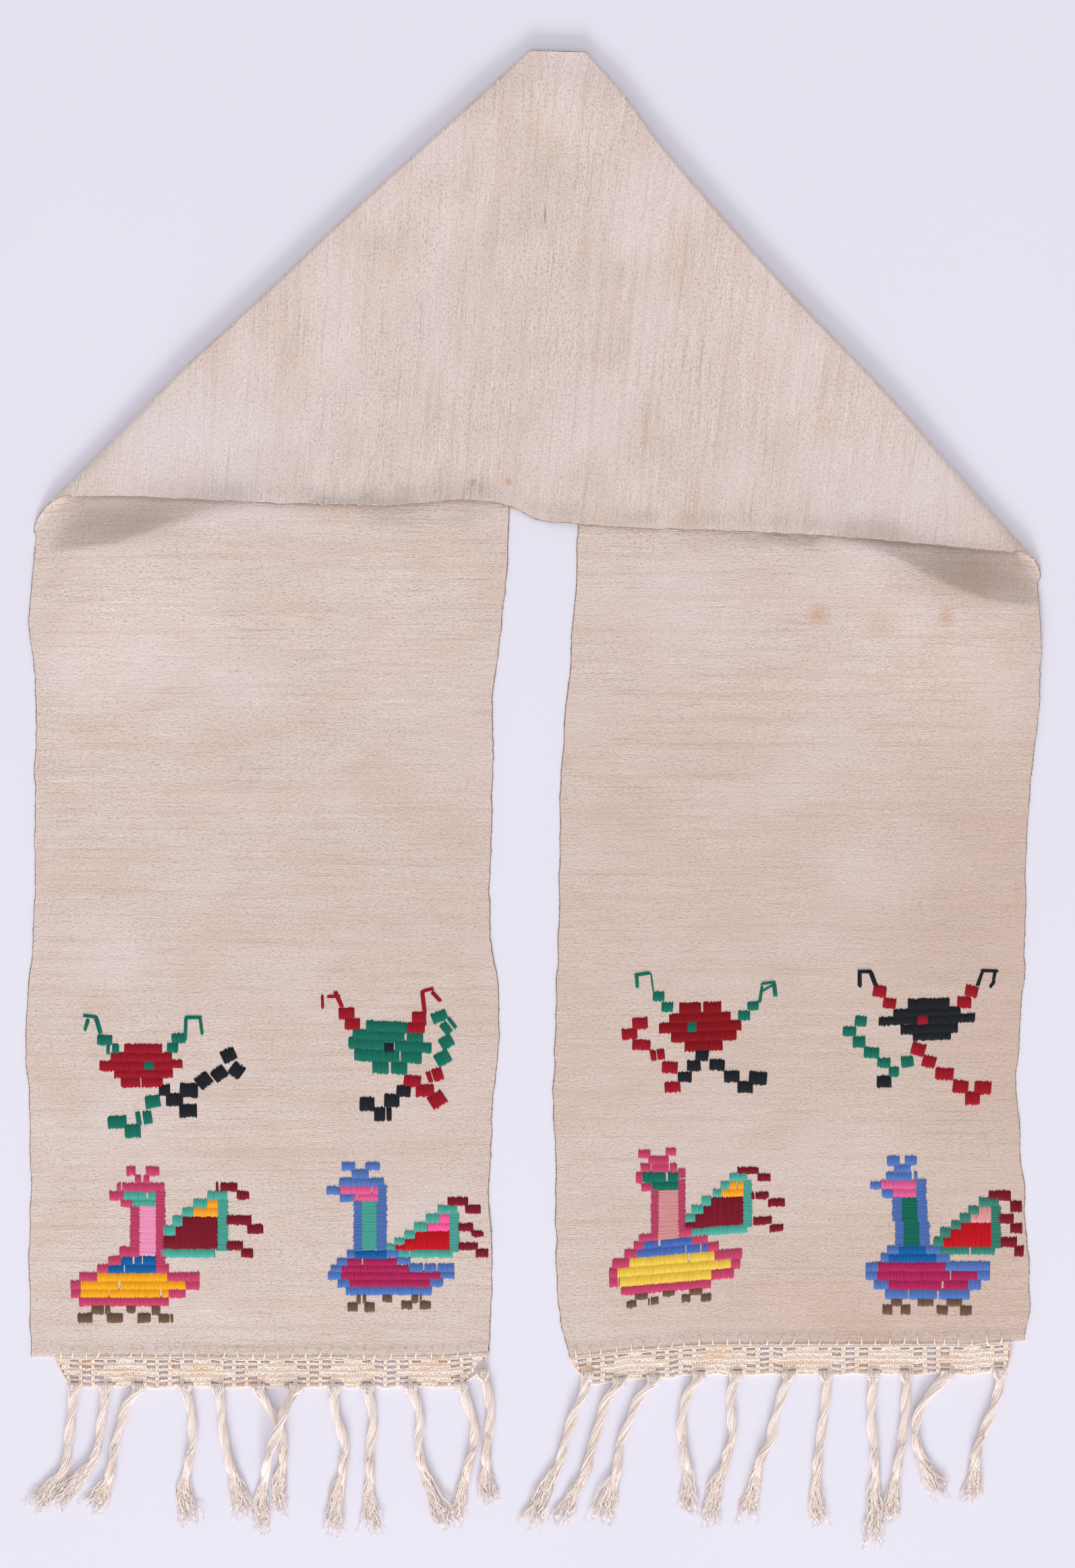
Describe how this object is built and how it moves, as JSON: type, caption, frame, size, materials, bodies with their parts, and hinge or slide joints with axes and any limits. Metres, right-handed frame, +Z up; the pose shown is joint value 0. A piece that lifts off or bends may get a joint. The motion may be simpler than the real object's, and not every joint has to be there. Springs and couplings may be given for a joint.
{
  "type": "rushnyk towel",
  "caption": "Long linen towel laid out in a folded V, both ends with stepped bird and flower embroidery, a crocheted edging and twisted tassels.",
  "frame": {"origin": "on the table, under the middle of the towel's outline", "axes": "+X across the two ends, +Y from the tassels towards the folded top, +Z up from the table"},
  "size_m": [0.8744, 1.2829, 0.0204],
  "materials": {
    "linen": "plain hand-woven linen, unbleached, matt",
    "cotton": "crocheted and twisted cotton yarn, cream, matt",
    "embroidery": "stranded embroidery thread in satin stitch, soft sheen, many colours"
  },
  "bodies": {
    "root": {"cloth": "linen", "lace_left": "cotton", "tassel_left_01": "cotton", "tassel_left_02": "cotton", "tassel_left_03": "cotton", "tassel_left_04": "cotton", "tassel_left_05": "cotton", "tassel_left_06": "cotton", "tassel_left_07": "cotton", "tassel_left_08": "cotton", "tassel_left_09": "cotton", "tassel_left_10": "cotton", "tassel_left_11": "cotton", "tassel_left_12": "cotton", "lace_right": "cotton", "tassel_right_01": "cotton", "tassel_right_02": "cotton", "tassel_right_03": "cotton", "tassel_right_04": "cotton", "tassel_right_05": "cotton", "tassel_right_06": "cotton", "tassel_right_07": "cotton", "tassel_right_08": "cotton", "tassel_right_09": "cotton", "tassel_right_10": "cotton", "tassel_right_11": "cotton"}
  },
  "joints": []
}
